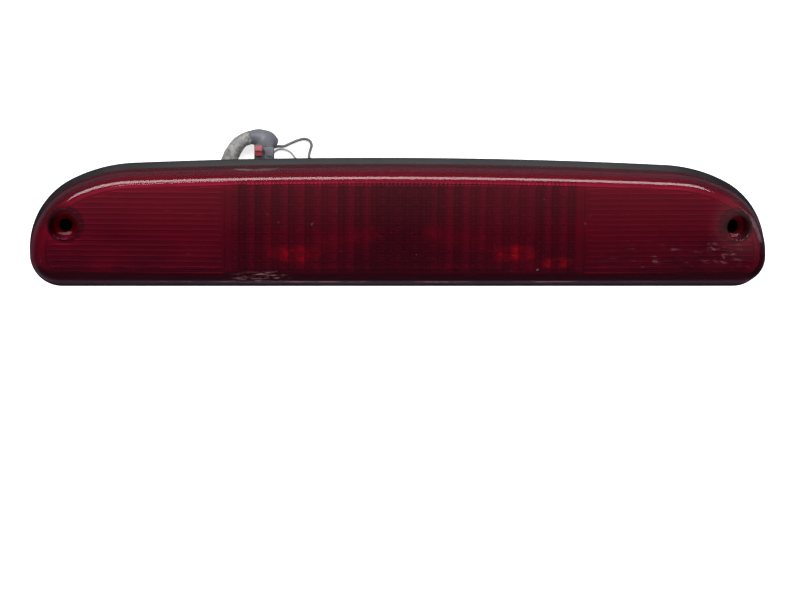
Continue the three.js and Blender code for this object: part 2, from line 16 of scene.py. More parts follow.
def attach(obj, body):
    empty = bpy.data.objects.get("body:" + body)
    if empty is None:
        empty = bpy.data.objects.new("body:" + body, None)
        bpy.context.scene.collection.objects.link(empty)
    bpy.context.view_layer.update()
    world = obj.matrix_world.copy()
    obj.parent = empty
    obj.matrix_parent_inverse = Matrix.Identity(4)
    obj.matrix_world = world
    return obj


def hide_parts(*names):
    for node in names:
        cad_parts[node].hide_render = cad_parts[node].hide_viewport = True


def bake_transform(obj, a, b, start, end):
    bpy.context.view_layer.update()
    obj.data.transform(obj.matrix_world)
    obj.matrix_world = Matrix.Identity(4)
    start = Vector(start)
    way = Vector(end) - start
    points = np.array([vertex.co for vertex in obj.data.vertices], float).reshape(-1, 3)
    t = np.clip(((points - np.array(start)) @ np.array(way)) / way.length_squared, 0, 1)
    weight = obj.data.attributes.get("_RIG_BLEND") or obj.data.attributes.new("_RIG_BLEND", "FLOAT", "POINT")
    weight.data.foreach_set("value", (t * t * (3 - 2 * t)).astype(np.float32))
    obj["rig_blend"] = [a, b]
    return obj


MM = 0.001

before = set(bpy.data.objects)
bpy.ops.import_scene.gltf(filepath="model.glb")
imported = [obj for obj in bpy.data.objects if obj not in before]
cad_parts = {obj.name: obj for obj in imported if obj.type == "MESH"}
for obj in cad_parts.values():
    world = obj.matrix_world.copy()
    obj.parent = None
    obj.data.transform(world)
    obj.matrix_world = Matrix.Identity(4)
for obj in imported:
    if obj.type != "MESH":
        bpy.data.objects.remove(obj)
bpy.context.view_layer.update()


# ---- Camera ----

TARGET = Vector((-0.75, -40.4, 32)) * MM
DISTANCE = 1.0
FROM_LEFT = math.radians(4)
FROM_ABOVE = math.radians(5.5)
ROLL = math.radians(0.353)

towards = Vector((-math.sin(FROM_LEFT), math.sin(FROM_ABOVE), 0))
towards.z = math.sqrt(1 - towards.length_squared)
camera = bpy.data.objects.new("camera", bpy.data.cameras.new("camera"))
camera.data.lens = 86.93
camera.data.sensor_width = 36
camera.data.clip_start = 0.01
camera.data.clip_end = 50
right = Vector((0, 1, 0)).cross(towards).normalized()
camera.matrix_world = (Matrix.Translation(TARGET + towards * DISTANCE)
                       @ Matrix((right, towards.cross(right), towards)).transposed().to_4x4()
                       @ Matrix.Rotation(ROLL, 4, "Z"))
bpy.context.scene.collection.objects.link(camera)
bpy.context.scene.camera = camera


# ---- Meshes ----

def link(name, mesh, material=None):
    piece = bpy.data.objects.new(name, mesh)
    bpy.context.scene.collection.objects.link(piece)
    if material:
        mesh.materials.append(material)
    return piece


def mesh_of(points, faces):
    """A mesh from points in millimetres."""
    mesh = bpy.data.meshes.new("piece")
    mesh.from_pydata([(x * MM, y * MM, z * MM) for x, y, z in points], [], faces)
    return mesh


def tidy(mesh, merge=1e-7):
    """Joins touching points and turns all faces outwards."""
    bm = bmesh.new()
    bm.from_mesh(mesh)
    bmesh.ops.remove_doubles(bm, verts=bm.verts, dist=merge)
    bmesh.ops.recalc_face_normals(bm, faces=bm.faces)
    bm.to_mesh(mesh)
    bm.free()
    return mesh


def smooth(mesh, angle=35):
    """Smooth shading, with edges sharper than angle in degrees kept."""
    mesh.shade_smooth()
    mesh.set_sharp_from_angle(angle=math.radians(angle))
    return mesh


def place(piece, body, slot, *nodes):
    """The piece rides on body and stands for the CAD nodes, which it hides. slot is not used."""
    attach(piece, body)
    if nodes:
        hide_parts(*nodes)
    return piece


# ---- Outlines, as in the CAD source ----

LENS_RIM, LENS_FRONT, LENS_CROWN = 36, 62, 8
WELL_X, WELL_Y, WELL_FLOOR, BORE = 171, -1.3, 41, 3.3
RIB_PITCH = 2.65
WINDOW_X, WINDOW_LOW, WINDOW_HIGH = 91, -22.8, 21.5
COLUMN = 4.15
COLUMNS_X = 86.6
BEAD_SIZE = 1.55
TOP_BEAD, TOP_ROW_Y = 2.1, 19.4
RIB_START = 0.4
LENS_IOR = 1.49
SHOULDER_ANGLE = math.radians(26.8)
FLANGE = {"half": 190, "bottom": -33.1, "top": 33.1, "radii": (3060, 77, 40, 16.3)}
LENS = {"half": 189.2, "bottom": -31.9, "top": 29.9, "radii": (3060, 75, 38.5, 15.1)}


def arc(centre, radius, start, end, steps):
    """Points after start up to end on an arc, with angles from +Y."""
    angles = [start + (end - start) * (i + 1) / steps for i in range(steps)]
    return [(centre[0] + radius * math.sin(a), centre[1] + radius * math.cos(a)) for a in angles]


def line(start, end, steps):
    return [tuple(a + (b - a) * (i + 1) / steps for a, b in zip(start, end)) for i in range(steps)]


def outline(shape, inset=0, steps=(44, 14, 26, 8, 14, 60)):
    """Closed loop of (x, y), clockwise from the top middle. Loops of one shape match point by point."""
    half, bottom, top = shape["half"], shape["bottom"], shape["top"]
    top_r, shoulder_r, end_r, corner_r = shape["radii"]
    reach = half - end_r - (shoulder_r - end_r) * math.sin(SHOULDER_ANGLE)
    top_angle = math.asin(reach / (top_r - shoulder_r))
    top_centre = (0, top - top_r)
    shoulder_centre = arc(top_centre, top_r - shoulder_r, 0, top_angle, 1)[0]
    end_centre = arc(shoulder_centre, shoulder_r - end_r, 0, SHOULDER_ANGLE, 1)[0]
    corner = max(corner_r - inset, 0.05)
    corner_centre = (half - corner_r, bottom + corner_r)
    if corner_r - inset < corner:
        corner_centre = (half - inset - corner, bottom + inset + corner)
    right = [(0, top - inset)]
    right += arc(top_centre, top_r - inset, 0, top_angle, steps[0])
    right += arc(shoulder_centre, shoulder_r - inset, top_angle, SHOULDER_ANGLE, steps[1])
    right += arc(end_centre, end_r - inset, SHOULDER_ANGLE, math.pi / 2, steps[2])
    right += line(right[-1], (half - inset, corner_centre[1]), steps[3])
    right += arc(corner_centre, corner, math.pi / 2, math.pi, steps[4])
    right += line(right[-1], (0, bottom + inset), steps[5])
    return right + [(-x, y) for x, y in right[-2:0:-1]]


def box_outline(half_x, half_y, radius, steps=10):
    """Closed loop of a rectangle with round corners, centred on the Z axis."""
    loop = []
    for turn, (cx, cy) in enumerate(((1, 1), (1, -1), (-1, -1), (-1, 1))):
        centre = (cx * (half_x - radius), cy * (half_y - radius))
        start = math.pi / 2 * turn
        loop += arc(centre, radius, start - 1e-9, start, 1)
        loop += arc(centre, radius, start, start + math.pi / 2, steps)
    return loop


def loft(rings, caps=True):
    """Closed mesh through rings of (x, y, z) with equal numbers of points."""
    size = len(rings[0])
    points = [p for ring in rings for p in ring]
    faces = []
    for r in range(len(rings) - 1):
        for i in range(size):
            j = (i + 1) % size
            faces.append((r * size + i, (r + 1) * size + i, (r + 1) * size + j, r * size + j))
    if caps:
        faces.append(tuple(range(size)))
        faces.append(tuple(reversed(range((len(rings) - 1) * size, len(rings) * size))))
    return points, faces


def at(loop, z):
    """The loop of (x, y) at a height, which may be a function of x."""
    return [(x, y, z(x) if callable(z) else z) for x, y in loop]


def merged(*parts):
    """One list of points and one of faces from several."""
    points, faces = [], []
    for more_points, more_faces in parts:
        start = len(points)
        points += more_points
        faces += [tuple(start + i for i in face) for face in more_faces]
    return points, faces


def inside(loop, x, y):
    """Which of the points x, y (arrays) lie inside the loop."""
    hit = np.zeros(len(x), bool)
    for (ax, ay), (bx, by) in zip(loop, loop[1:] + loop[:1]):
        if ay == by:
            continue
        crosses = (ay > y) != (by > y)
        hit ^= crosses & (x < (bx - ax) * (y - ay) / (by - ay) + ax)
    return hit


def filled(loops, grid, height):
    """Triangles that fill the first loop around the other loops, with grid points between. height gives
    z from x and y. Points near a loop are left out so that no thin triangle forms."""
    outer = loops[0]
    gx, gy = np.array(grid).T
    keep = inside(outer, gx, gy)
    for loop in loops[1:]:
        keep &= ~inside(loop, gx, gy)
    for loop in loops:
        edge = np.array(loop)
        for start in range(0, len(edge), 16):
            part = edge[start:start + 16]
            near = (gx[:, None] - part[:, 0]) ** 2 + (gy[:, None] - part[:, 1]) ** 2
            keep &= near.min(1) > 0.15**2
    points = [Vector(p) for loop in loops for p in loop]
    edges, start = [], 0
    for loop in loops:
        edges += [(start + i, start + (i + 1) % len(loop)) for i in range(len(loop))]
        start += len(loop)
    points += [Vector(p) for p in zip(gx[keep], gy[keep])]
    made, _, triangles, *_ = delaunay_2d_cdt(points, edges, [], 0, 1e-6)
    flat = np.array([tuple(p) for p in made])
    triangles = np.array(triangles)
    cx, cy = flat[triangles].mean(1).T
    keep = inside(outer, cx, cy)
    for loop in loops[1:]:
        keep &= ~inside(loop, cx, cy)
    z = height(flat[:, 0], flat[:, 1])
    return [(x, y, h) for (x, y), h in zip(flat, z)], [tuple(t) for t in triangles[keep].tolist()]


def circle(cx, cy, radius, steps=48):
    return arc((cx, cy), radius, 0, 2 * math.pi, steps)


# ---- Materials ----

class Nodes:
    """A short way to wire a material's nodes."""

    def __init__(self, name):
        self.material = bpy.data.materials.new(name)
        self.material.use_nodes = True
        self.tree = self.material.node_tree
        self.tree.nodes.clear()
        self.out = self.add("ShaderNodeOutputMaterial")
        self.where = self.add("ShaderNodeTexCoord").outputs["Object"]

    def add(self, kind, inputs=None, **settings):
        node = self.tree.nodes.new(kind)
        for key, value in settings.items():
            setattr(node, key, value)
        for key, value in (inputs or {}).items():
            self.set(node.inputs[key], value)
        return node

    def set(self, socket, value):
        if isinstance(value, bpy.types.NodeSocket):
            self.tree.links.new(value, socket)
        else:
            socket.default_value = value

    def stretched(self, scale):
        """The object's coordinates in millimetres times scale, a number or one for each axis."""
        factors = scale if isinstance(scale, tuple) else (scale,) * 3
        vector = tuple(f / MM for f in factors)
        node = self.add("ShaderNodeVectorMath", {0: self.where, 1: vector}, operation="MULTIPLY")
        return node.outputs[0]

    def noise(self, scale, detail=3, roughness=0.55):
        inputs = {"Vector": self.stretched(scale), "Scale": 1.0, "Detail": detail, "Roughness": roughness}
        return self.add("ShaderNodeTexNoise", inputs).outputs["Fac"]

    def math(self, operation, *values, clamp=False):
        node = self.add("ShaderNodeMath", dict(enumerate(values)), operation=operation, use_clamp=clamp)
        return node.outputs[0]

    def times(self, first, *others):
        """The product of all the values."""
        for other in others:
            first = self.math("MULTIPLY", first, other)
        return first

    def most(self, first, *others):
        """The largest of all the values."""
        for other in others:
            first = self.math("MAXIMUM", first, other)
        return first

    def magnitude(self, value):
        return self.math("ABSOLUTE", value)

    def off(self, value, middle):
        """How far the value is from middle."""
        return self.magnitude(self.math("SUBTRACT", value, middle))

    def repeat(self, value, pitch):
        """0 to 1 over each pitch of the value."""
        return self.math("FRACT", self.math("DIVIDE", value, pitch))

    def span(self, value, low, high, to_low=0.0, to_high=1.0, smooth=False):
        """The value from low to high turned into to_low to to_high, and held beyond."""
        kind = "SMOOTHSTEP" if smooth else "LINEAR"
        inputs = {"Value": value, "From Min": low, "From Max": high, "To Min": to_low, "To Max": to_high}
        return self.add("ShaderNodeMapRange", inputs, interpolation_type=kind).outputs[0]

    def mix(self, factor, a, b):
        node = self.add("ShaderNodeMix", data_type="RGBA")
        for socket, value in ((node.inputs[0], factor), (node.inputs[6], a), (node.inputs[7], b)):
            if isinstance(value, tuple) and len(value) == 3:
                value = (*value, 1)
            self.set(socket, value)
        return node.outputs[2]

    def bump(self, height, distance, strength=1.0):
        """A normal from a height of 0 to 1 over distance millimetres."""
        return self.add("ShaderNodeBump", {"Height": height, "Distance": distance * MM,
                                           "Strength": strength}).outputs[0]

    def axes(self):
        """The object's X, Y and Z in millimetres."""
        return self.add("ShaderNodeSeparateXYZ", {0: self.stretched(1.0)}).outputs

    def spot(self, x, y, half_x, half_y, soft=1.0):
        """1 at the middle of an ellipse on the front and 0 outside it."""
        px, py, _ = self.axes()
        dx = self.math("DIVIDE", self.math("SUBTRACT", px, float(x)), float(half_x))
        dy = self.math("DIVIDE", self.math("SUBTRACT", py, float(y)), float(half_y))
        far = self.math("ADD", self.times(dx, dx), self.times(dy, dy))
        return self.span(far, 1.0 - soft, 1.0, 1.0, 0.0, smooth=True)

    def rubs(self):
        """Sparse fine specks and rubs, in patches."""
        fine = self.span(self.noise((0.9, 0.22, 0.5), 6, 0.7), 0.6, 0.72)
        return self.times(fine, self.span(self.noise(0.05, 2), 0.42, 0.62))

    def end(self, shader):
        self.tree.links.new(shader if isinstance(shader, bpy.types.NodeSocket) else shader.outputs[0],
                            self.out.inputs["Surface"])
        return self.material


def moulded(name, color, other, roughness=0.5, patches=0.06, grain=1.2, depth=0.05, wear=None, **fixed):
    """Moulded plastic, rubber, foam or metal: colour that drifts between two tones, uneven gloss and a
    fine grain. wear is a third tone in sparse fine specks and rubs."""
    n = Nodes(name)
    drift = n.span(n.noise(patches, 5), 0.35, 0.65)
    tone = n.mix(drift, color, other)
    if wear:
        tone = n.mix(n.rubs(), tone, wear)
    fine = n.noise(grain, 2)
    dull = n.math("ADD", n.span(drift, 0, 1, roughness - 0.06, roughness + 0.06),
                  n.span(fine, 0.3, 0.7, -0.03, 0.03))
    inputs = {"Base Color": tone, "Roughness": dull, "Normal": n.bump(fine, depth)}
    inputs.update({key.replace("_", " "): value for key, value in fixed.items()})
    return n.end(n.add("ShaderNodeBsdfPrincipled", inputs))


def lens_skin():
    """The polished outside of the lens: clear over its red inside, with dust, scuffs and haze."""
    n = Nodes("lens_skin")
    x, y, _ = n.axes()
    # Rubbed patches at the lower edge and at the right end
    streaks = n.span(n.noise((0.16, 0.9, 0.5), 6, 0.65), 0.52, 0.66)
    wisps = n.span(n.noise((0.2, 0.55, 0.5), 5, 0.7), 0.56, 0.7)
    lower = n.times(n.most(n.spot(-73, -26.5, 17, 4.2, 0.9), n.spot(-22, -29, 5, 1.4, 0.9)), streaks)
    rim_line = n.times(n.spot(0, -28.8, 150, 0.5), n.span(n.noise((0.05, 0.1, 0.1), 4), 0.5, 0.62))
    right_end = n.times(n.spot(163, -14.5, 15, 8, 0.9), wisps)
    faint = n.times(n.spot(128, -16, 34, 9, 0.9), n.span(wisps, 0.3, 1.0, 0.0, 0.4))
    scuff = n.most(lower, right_end, faint, rim_line)
    specks = n.span(n.noise(0.5, 2, 0.5), 0.755, 0.79, 0.0, 0.22)
    # A faint pale veil, stronger towards the upper half, and a patch of it at the right end
    pale_veil = n.most(n.span(y, -4.0, 20.0, 0.0, 0.014), n.times(n.spot(174, 4, 22, 24), 0.03))
    veil = n.most(n.times(scuff, 0.3), specks, pale_veil)
    dull = n.math("ADD", n.span(n.noise(0.04, 1), 0.35, 0.7, 0.045, 0.08), n.times(veil, 0.5))
    wave = n.bump(n.noise(0.06, 1), 0.02)
    clear = n.add("ShaderNodeBsdfTransparent", {"Color": (0.82, 0.16, 0.36, 1)})
    gloss = n.add("ShaderNodeBsdfGlossy", {"Color": (1, 1, 1, 1), "Roughness": dull, "Normal": wave})
    # Painted shade: the shine is damped in the wells and towards the lower and left edges
    fresnel = n.add("ShaderNodeFresnel", {"IOR": LENS_IOR, "Normal": wave}).outputs[0]
    deep = n.most(*(n.spot(side * WELL_X, WELL_Y, 7.3, 7.3, 0.1) for side in (-1, 1)))
    edge = n.math("MINIMUM", n.span(y, -28.5, -30.5, 1.0, 0.35), n.span(x, -184.0, -187.5, 1.0, 0.45))
    fresnel = n.times(fresnel, n.span(deep, 0.0, 1.0, 1.0, 0.25), edge)
    coat = n.add("ShaderNodeMixShader", {0: fresnel, 1: clear.outputs[0], 2: gloss.outputs[0]})
    grime = n.add("ShaderNodeBsdfPrincipled", {"Base Color": (0.42, 0.22, 0.23, 1), "Roughness": 0.6})
    return n.end(n.add("ShaderNodeMixShader", {0: veil, 1: coat.outputs[0], 2: grime.outputs[0]}))


def lens_optics():
    """The ribbed inside of the lens, seen through its skin: red, part clear and part milky."""
    n = Nodes("lens_optics")
    x, y, z = n.axes()
    # Painted light and shade: brighter towards the top edge, a painted sheen on the upper wall and painted
    # shade on the lower wall, where the walls turn away
    tone = n.mix(n.span(y, -26.0, 22.0), (0.07, 0.002, 0.035), (0.22, 0.006, 0.07))
    patch = n.span(n.noise((0.03, 0.06, 0.05), 3), 0.35, 0.7)
    tone = n.mix(n.times(patch, 0.35), tone, (0.3, 0.006, 0.08))
    # Painted shade along the lower wall
    tone = n.mix(n.span(y, -21.8, -25.2), tone, (0.025, 0.005, 0.01))
    # Painted sheen on the upper wall
    tone = n.mix(n.span(y, 21.5, 26.0, 0.0, 0.8), tone, (0.34, 0.03, 0.1))
    # Painted highlights: the ribs' grooves on both sides of the window are painted as thin light lines
    on_face = n.span(z, 53.5, 56.5)
    beside = n.times(n.span(n.magnitude(x), WINDOW_X, WINDOW_X + 1.0), on_face)
    phase = n.math("ADD", n.math("DIVIDE", n.math("ADD", y, RIB_START), RIB_PITCH), 0.5)
    groove = n.span(n.off(n.math("FRACT", phase), 0.5), 0.16, 0.04, smooth=True)
    tone = n.mix(n.times(groove, beside, 0.4), tone, (0.34, 0.06, 0.1))
    # Painted light and shade inside the window: columns painted bright and dark by turns, between plain side
    # strips
    step = n.repeat(n.math("ADD", x, 79.9), 2 * COLUMN)
    light = n.math("MINIMUM", n.span(step, -0.05, 0.4), n.span(step, 0.54, 0.48))
    shade = n.span(n.noise((0.12, 0.01, 0.01), 1), 0.3, 0.7, 0.22, 0.52)
    in_columns = n.span(n.magnitude(x), COLUMNS_X + 0.8, COLUMNS_X - 0.4)
    # Painted shade down the middle of the window, in front of the bulb
    centre = n.span(n.off(x, -1.5), 18.5, 14.0)
    dark = n.times(n.math("SUBTRACT", 1.0, light), shade, in_columns)
    dark = n.most(dark, n.times(centre, 0.5))
    # Painted shade: thin dark lines along the bead rows and half columns
    ledge = n.most(n.span(n.off(n.repeat(y, BEAD_SIZE), 0.5), 0.25, 0.45, 0.0, 0.2),
                   n.span(n.off(n.repeat(x, COLUMN / 2), 0.5), 0.3, 0.45, 0.0, 0.2))
    dark = n.math("ADD", dark, n.times(ledge, in_columns), clamp=True)
    in_window = n.times(n.span(y, WINDOW_HIGH + 1.0, WINDOW_HIGH), on_face)
    tone = n.mix(n.times(dark, in_window), tone, (0.03, 0.001, 0.012))
    # Painted light: a few painted hot spots low in the window, where the trough behind throws light, and
    # painted glints on the top row of beads
    hot = n.most(n.spot(-56, -14.5, 15, 5.5), n.spot(55, -14, 14, 6),
                 n.times(n.spot(77, -19, 11, 3.5), 0.7))
    hot = n.times(hot, n.span(n.noise((0.25, 0.4, 0.2), 2), 0.25, 0.7), n.span(light, 0.0, 1.0, 0.3, 1.0))
    tone = n.mix(n.times(hot, 0.8), tone, (0.75, 0.008, 0.06))
    bead = n.span(n.off(n.repeat(x, TOP_BEAD), 0.5), 0.3, 0.15)
    top_row = n.times(n.span(n.off(y, 20.6), 0.8, 0.4), in_columns)
    glints = n.times(bead, top_row, n.span(n.noise(0.3, 3), 0.3, 0.7, 0.1, 0.8))
    tone = n.mix(glints, tone, (0.5, 0.08, 0.15))
    # Painted shade: a dark ring where each well's tube shows through the lens, and a lighter red painted
    # inside it
    for side in (-1, 1):
        ring = n.spot(side * (WELL_X - 1.0), WELL_Y + 0.8, 10.2, 10.2, 0.3)
        tone = n.mix(n.times(ring, 0.8), tone, (0.04, 0.012, 0.018))
        tone = n.mix(n.spot(side * WELL_X, WELL_Y, 6.6, 6.6, 0.1), tone, (0.3, 0.008, 0.07))
    clear = n.add("ShaderNodeBsdfTransparent", {"Color": (0.8, 0.16, 0.25, 1)})
    body = n.add("ShaderNodeBsdfPrincipled", {"Base Color": tone, "Roughness": 0.24, "IOR": 1.4})
    milky = n.span(in_columns, 0.0, 1.0, 0.88, 0.85)
    return n.end(n.add("ShaderNodeMixShader", {0: milky, 1: clear.outputs[0], 2: body.outputs[0]}))


SKIN = lens_skin()
OPTICS = lens_optics()


def housing_plastic():
    """Black plastic whose shine is turned down towards both ends of the flange, as painted shade."""
    n = Nodes("housing_plastic")
    x = n.axes()[0]
    drift = n.span(n.noise(0.05, 5), 0.35, 0.65)
    tone = n.mix(drift, (0.008, 0.008, 0.01), (0.013, 0.013, 0.015))
    tone = n.mix(n.rubs(), tone, (0.05, 0.05, 0.055))
    fine = n.noise(1.5, 2)
    # Painted shade: less shine towards both ends of the flange
    sheen = n.span(n.magnitude(x), 105.0, 172.0, 0.2, 0.035)
    return n.end(n.add("ShaderNodeBsdfPrincipled", {
        "Base Color": tone, "Roughness": n.span(fine, 0.3, 0.7, 0.42, 0.5), "Normal": n.bump(fine, 0.03),
        "Specular IOR Level": sheen}))


BLACK = housing_plastic()
BEAD = moulded("butyl", (0.012, 0.012, 0.014), (0.02, 0.02, 0.022), 0.35, 0.1, 0.5, 0.1)
FOAM = moulded("foam", (0.028, 0.028, 0.031), (0.05, 0.05, 0.054), 0.92, 0.08, 2.4, 0.25)
MIRROR = moulded("metallised", (0.78, 0.78, 0.8), (0.66, 0.66, 0.69), 0.42, 0.03, 0.15, 0.02, Metallic=1.0)
SOCKET = moulded("socket_plastic", (0.035, 0.035, 0.04), (0.06, 0.06, 0.066), 0.5, 0.08, 1.2, 0.04)
BRASS = moulded("tinned_brass", (0.62, 0.5, 0.3), (0.72, 0.62, 0.42), 0.32, 0.4, 1.5, 0.01, Metallic=1.0)
SILICONE = moulded("silicone", (0.2, 0.06, 0.035), (0.26, 0.085, 0.05), 0.6, 0.2, 1.0, 0.02)
STEEL = moulded("bulb_wire", (0.42, 0.4, 0.38), (0.55, 0.52, 0.48), 0.35, 0.5, 2.0, 0.01, Metallic=1.0)


# ---- Lens ----

def face_z(x):
    return LENS_FRONT - LENS_CROWN * (x / WELL_X) ** 2


def wall_z(share, drop=0.0):
    return lambda x: LENS_RIM + (face_z(x) - LENS_RIM) * share - drop


def ramp(value, low, high):
    t = np.clip((value - low) / (high - low), 0, 1)
    return t * t * (3 - 2 * t)


def relief(x, y):
    """How far the optics stand out from the lens's inner face at x, y."""
    x, y = np.asarray(x, float), np.asarray(y, float)
    # Fine horizontal ribs on both sides
    ribs = 0.6 * np.abs(np.sin(np.pi * (y + RIB_START) / RIB_PITCH)) ** 0.35
    ribs *= ramp(np.abs(x), WINDOW_X + 0.2, WINDOW_X + 1.2) * ramp(y, -26.6, -25.8)
    # Middle window: flutes and beaded columns by turns, crossed by shallow grooves
    column = (x + 84.3) / COLUMN
    u = column - np.floor(column)
    flute = 0.85 * np.sin(np.pi * u) ** 0.75
    beads = 0.35 + 0.5 * np.abs(np.sin(3 * np.pi * u) * np.sin(np.pi * y / BEAD_SIZE)) ** 0.8
    pattern = np.where(np.floor(column) % 2 == 0, flute, beads * np.sin(np.pi * u) ** 0.2)
    row = y / (3 * BEAD_SIZE)
    pattern *= 1 - 0.55 * np.exp(-((row - np.round(row)) * 3 * BEAD_SIZE / 0.35) ** 2)
    across = np.sin(np.pi * np.clip((y - TOP_ROW_Y) / TOP_BEAD, 0, 1))
    top_row = 0.7 * np.abs(np.sin(np.pi * x / TOP_BEAD)) ** 0.6 * across**0.6
    pattern = np.where(y > TOP_ROW_Y, top_row, pattern)
    in_columns = np.abs(x) < COLUMNS_X
    strip = 0.35 + 0.2 * np.cos(2 * np.pi * (np.abs(x) - COLUMNS_X) / 2.2)
    window = np.where(in_columns, pattern, strip) + 0.25
    edge = (ramp(WINDOW_X - np.abs(x), 0.0, 0.5) * ramp(y, WINDOW_LOW, WINDOW_LOW + 0.5)
            * ramp(WINDOW_HIGH + 0.4 - y, 0.0, 0.4))
    return ribs + window * edge


def inner_z(x, y):
    return face_z(np.asarray(x, float)) - 2.6 - relief(x, y)


def clear_of_wells(loop, radius):
    """The outline loop, pushed outwards where it comes nearer than radius to a well's axis."""
    kept = []
    for x, y in loop:
        well = math.copysign(WELL_X, x)
        away = math.hypot(x - well, y - WELL_Y)
        share = max(1.0, radius / away) if away > 0 else 1.0
        kept.append((well + (x - well) * share, WELL_Y + (y - WELL_Y) * share))
    return kept


def lens_skin_parts(wells):
    """Outer shell: the polished shoulder and the face, up to the wells' rims."""
    profile = [(0, 0), (0.06, 0.012), (0.45, 0.15), (0.9, 0.3), (1.4, 0.45), (1.93, 0.59), (2.45, 0.7),
               (3.0, 0.8), (3.4, 0.853), (3.85, 0.898), (4.4, 0.934), (5.0, 0.957), (5.7, 0.975),
               (6.4, 0.987), (7.2, 0.994), (8.1, 0.998), (9.2, 1)]
    shoulder = loft([at(clear_of_wells(outline(LENS, i), 8.2 - i / 9.2), wall_z(s)) for i, s in profile],
                    caps=False)
    grid = [(x, y) for x in np.arange(-184, 184.1, 4) for y in np.arange(-24, 24, 6)]
    cap = [clear_of_wells(outline(LENS, 9.2), 7.2)] + [circle(x, WELL_Y, 6.9) for x in wells]
    return [shoulder, filled(cap, grid, lambda x, y: face_z(x))]


def lens_optic_parts(wells):
    """Inner face: its walls, and the ribs, flutes and beads."""
    profile = [(2.6, 0, 0), (3.3, 0.22, 0), (4.0, 0.45, 0.2), (4.9, 0.65, 0.5), (5.8, 0.8, 1.0),
               (6.8, 0.9, 1.6), (8.0, 0.97, 2.2), (9.0, 0.993, 2.5)]
    face_edge = clear_of_wells(outline(LENS, 9.4), 8.3)
    rings = [at(outline(LENS, 0), LENS_RIM)]
    rings += [at(clear_of_wells(outline(LENS, i), 9.2 - i / 12), wall_z(s, d)) for i, s, d in profile]
    rings.append([(x, y, float(inner_z(x, y))) for x, y in face_edge])
    rib_rows = [k * RIB_PITCH + t * RIB_PITCH - RIB_START for k in range(-10, 10)
                for t in (0, 0.06, 0.16, 0.3, 0.5, 0.7, 0.84, 0.94)]
    grid = [(s * x, y) for s in (-1, 1) for x in (*np.arange(92.4, 183, 2.5), 91.6) for y in rib_rows]
    strips = [s * k for s in (-1, 1) for k in (87.1, 87.7, 88.3, 89, 89.7, 90.3, 90.6, WINDOW_X)]
    bead_rows = (*np.arange(WINDOW_LOW, 22.2, BEAD_SIZE / 4), -22.4, -23.6, -25)
    grid += [(x, y) for x in (*np.arange(-COLUMNS_X, COLUMNS_X + 0.1, COLUMN / 12), *strips)
             for y in bead_rows]
    face = filled([face_edge] + [circle(x, WELL_Y, 8) for x in wells], grid, inner_z)
    return [loft(rings, caps=False), face]


def make_lens():
    wells = [side * WELL_X for side in (-1, 1)]
    skin, optics = lens_skin_parts(wells), lens_optic_parts(wells)
    for x in wells:
        lip = [(6.9, 0), (6.5, 0.06), (6.2, 0.26), (5.98, 0.6), (5.9, 1.2), (5.9, 3)]
        rings = [at(circle(x, WELL_Y, r), lambda px, d=d: face_z(px) - d) for r, d in lip]
        rings += [at(circle(x, WELL_Y, r), z) for r, z in (
            (5.9, 46), (5.9, WELL_FLOOR + 1), (5.75, WELL_FLOOR + 0.4), (5.3, WELL_FLOOR),
            (3.9, WELL_FLOOR), (3.45, WELL_FLOOR - 0.3), (BORE, WELL_FLOOR - 0.8), (BORE, WELL_FLOOR - 2.5))]
        skin.append(loft(rings, caps=False))
        tube = [at(circle(x, WELL_Y, r), z) for r, z in (
            (BORE, WELL_FLOOR - 2.5), (7.6, WELL_FLOOR - 2.5), (8, WELL_FLOOR - 2.1), (8, 46))]
        tube.append([(px, py, float(inner_z(px, py))) for px, py in circle(x, WELL_Y, 8)])
        optics.append(loft(tube, caps=False))
    points, faces = merged(*skin, *optics)
    mesh = mesh_of(points, faces)
    mesh.materials.append(SKIN)
    mesh.materials.append(OPTICS)
    first_optic = sum(len(part[1]) for part in skin)
    mesh.polygons.foreach_set("material_index", [0] * first_optic + [1] * (len(faces) - first_optic))
    return smooth(tidy(mesh, 1e-6), 50)


place(link("lens_shell", make_lens()), "lamp", "lens_red", "lens")


# ---- Seal bead, housing, gasket ----

def make_bead():
    ring = [(0.5, 34.7), (0.2, 34.9), (0.2, 35.5), (0.5, 35.7), (2.1, 35.7), (2.4, 35.5), (2.4, 34.9),
            (2.1, 34.7), (0.5, 34.7)]
    return loft([at(outline(LENS, i), z) for i, z in ring], caps=False)


bead = link("seal_bead", smooth(tidy(mesh_of(*make_bead())), 40), BEAD)
place(bead, "lamp", "bead_black", "lens_seal_bead")

FLANGE_BACK, FLANGE_FRONT = 32, 34.4
BOWL_X, BOWL_Y, BOWL_RADIUS = 66, 25, 11
WALL = 2.2
RECESS = 22
PLATE_BACK = 14.7
VENT_X = 112
CONTACT_X = 3.55


def bowl_loop(z, inset):
    share = 1 - z / FLANGE_BACK
    return box_outline(BOWL_X - inset - 6 * share, BOWL_Y - inset - 5 * share, BOWL_RADIUS - inset)


def boolean(target, tool, operation="DIFFERENCE"):
    """Cuts tool out of target, or joins it, and removes tool."""
    change = target.modifiers.new("cut", "BOOLEAN")
    change.operation, change.object, change.solver = operation, tool, "EXACT"
    with bpy.context.temp_override(object=target, active_object=target, selected_objects=[target]):
        bpy.ops.object.modifier_apply(modifier="cut")
    bpy.data.objects.remove(tool)
    return target


def solid_box(x0, x1, y0, y1, z0, z1):
    return loft([at([(x0, y0), (x0, y1), (x1, y1), (x1, y0)], z) for z in (z0, z1)])


def solid(points, faces):
    return link("tool", tidy(mesh_of(points, faces)))


